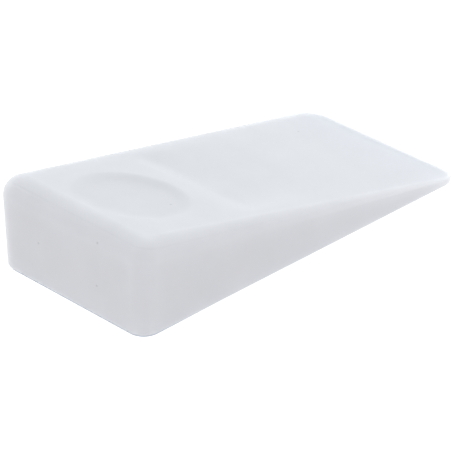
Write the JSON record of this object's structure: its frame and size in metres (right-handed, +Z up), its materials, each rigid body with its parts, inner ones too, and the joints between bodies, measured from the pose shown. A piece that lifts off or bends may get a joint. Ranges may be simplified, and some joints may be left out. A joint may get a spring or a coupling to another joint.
{
  "type": "trim removal wedge",
  "caption": "Solid plastic wedge for prying trim: thick end, thin rounded tip, flat bottom, a round thumb dimple and a soft sunken finger panel on the sloping top.",
  "frame": {"origin": "centre of the bounding box, on the flat bottom", "axes": "+X along the length from the thick end to the tip, +Z up from the flat bottom"},
  "size_m": [0.13, 0.06, 0.0285],
  "materials": {
    "body": "milky white, satin, slightly translucent"
  },
  "bodies": {
    "root": {"wedge": "body"}
  },
  "joints": []
}
